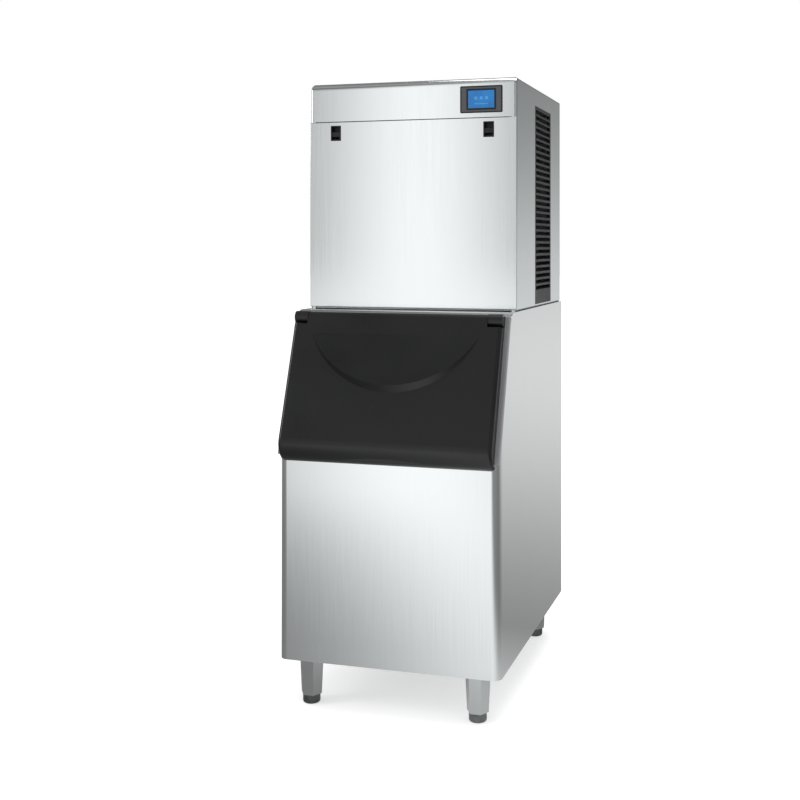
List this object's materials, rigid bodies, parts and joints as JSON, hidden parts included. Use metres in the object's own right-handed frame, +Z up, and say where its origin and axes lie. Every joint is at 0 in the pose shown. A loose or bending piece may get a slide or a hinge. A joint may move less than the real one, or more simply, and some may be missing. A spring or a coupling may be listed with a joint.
{
  "type": "cube ice machine",
  "caption": "Upright cube ice machine: a steel ice-making head with a small screen and a side grille, on an insulated bin with a slanted black door, on adjustable legs.",
  "frame": {"origin": "on the floor, under the middle of the whole machine", "axes": "+X to the right seen from the front, the front faces -Y, +Z up"},
  "size_m": [0.57, 0.8099, 1.58],
  "materials": {
    "stainless_steel": "brushed",
    "galvanised_steel": "satin",
    "door_plastic": "satin",
    "frame_plastic": "satin",
    "liner_plastic": "smooth",
    "foam": "rough",
    "black_rubber": "matt",
    "black_plastic": "satin",
    "bezel_plastic": "satin",
    "screen": "lit screen",
    "white_plastic": "smooth",
    "clear_plastic": "clear",
    "nickel": "plated",
    "copper": "drawn tube",
    "fin_aluminium": "pressed",
    "black_paint": "semi-gloss",
    "zinc_steel": "plated"
  },
  "bodies": {
    "cabinet": {"bin_wrap": "stainless_steel", "bin_top_plate": "stainless_steel", "bin_rear_panel": "galvanised_steel", "bin_bottom": "galvanised_steel", "bin_liner": "liner_plastic", "bin_insulation": "foam", "bin_drain": "white_plastic", "leg_sockets": "zinc_steel", "leg_front_left": "stainless_steel", "leg_front_right": "stainless_steel", "leg_rear_left": "stainless_steel", "leg_rear_right": "stainless_steel", "door_frame": "frame_plastic", "door_seal": "black_rubber", "hinge_pin_left": "zinc_steel", "hinge_pin_right": "zinc_steel", "side_panel_left": "stainless_steel", "side_panel_right": "stainless_steel", "top_cover": "stainless_steel", "front_panel": "stainless_steel", "latch_housing_left": "black_plastic", "latch_housing_right": "black_plastic", "display_bezel": "bezel_plastic", "display_screen": "screen", "control_box": "black_plastic", "side_grille": "black_plastic", "head_base": "galvanised_steel", "ice_chute": "white_plastic", "head_rear_panel": "galvanised_steel", "rear_screws": "zinc_steel", "bulkhead": "white_plastic", "evaporator_grid": "nickel", "evaporator_coil": "copper", "evaporator_frame": "white_plastic", "water_distributor": "white_plastic", "water_trough": "white_plastic", "water_pump": "black_plastic", "pump_hose": "clear_plastic", "compressor": "black_paint", "compressor_mounts": "black_rubber", "condenser": "fin_aluminium", "fan_shroud": "galvanised_steel", "fan_motor": "black_paint", "filter_drier": "copper", "liquid_line": "copper", "suction_line": "copper", "discharge_line": "copper", "water_inlet_valve": "white_plastic", "drain_spigot": "white_plastic", "cable_gland": "black_plastic"},
    "door": {"bin_door": "door_plastic", "door_inner_panel": "liner_plastic"},
    "latch_left": {"latch_slide_left": "black_plastic"},
    "latch_right": {"latch_slide_right": "black_plastic"},
    "foot_fl": {"foot_front_left": "black_plastic"},
    "foot_fr": {"foot_front_right": "black_plastic"},
    "foot_rl": {"foot_rear_left": "black_plastic"},
    "foot_rr": {"foot_rear_right": "black_plastic"},
    "fan": {"fan_blade": "black_plastic"},
    "curtain": {"water_curtain": "clear_plastic"}
  },
  "joints": [
    {"name": "bin_door_hinge", "type": "hinge", "parent": "cabinet", "child": "door", "pos_m": [0, -0.281, 0.96851], "axis": [-1, 0, 0], "range_deg": [0, 176]},
    {"name": "latch_left_slide", "type": "slide", "parent": "cabinet", "child": "latch_left", "axis": [0, 0, -1], "range_m": [0, 0.007], "stiffness_N_per_m": 300, "springref_m": -0.005},
    {"name": "latch_right_slide", "type": "slide", "parent": "cabinet", "child": "latch_right", "axis": [0, 0, -1], "range_m": [0, 0.007], "stiffness_N_per_m": 300, "springref_m": -0.005},
    {"name": "foot_front_left_screw", "type": "slide", "parent": "cabinet", "child": "foot_fl", "axis": [0, 0, -1], "range_m": [0, 0.028]},
    {"name": "foot_front_right_screw", "type": "slide", "parent": "cabinet", "child": "foot_fr", "axis": [0, 0, -1], "range_m": [0, 0.028]},
    {"name": "foot_rear_left_screw", "type": "slide", "parent": "cabinet", "child": "foot_rl", "axis": [0, 0, -1], "range_m": [0, 0.028]},
    {"name": "foot_rear_right_screw", "type": "slide", "parent": "cabinet", "child": "foot_rr", "axis": [0, 0, -1], "range_m": [0, 0.028]},
    {"name": "fan_spin", "type": "hinge", "parent": "cabinet", "child": "fan", "pos_m": [0.182, 0.154, 1.255], "axis": [1, 0, 0], "continuous": true},
    {"name": "water_curtain_hinge", "type": "hinge", "parent": "cabinet", "child": "curtain", "pos_m": [0, -0.016, 1.42], "axis": [-1, 0, 0], "range_deg": [0, 20]}
  ]
}
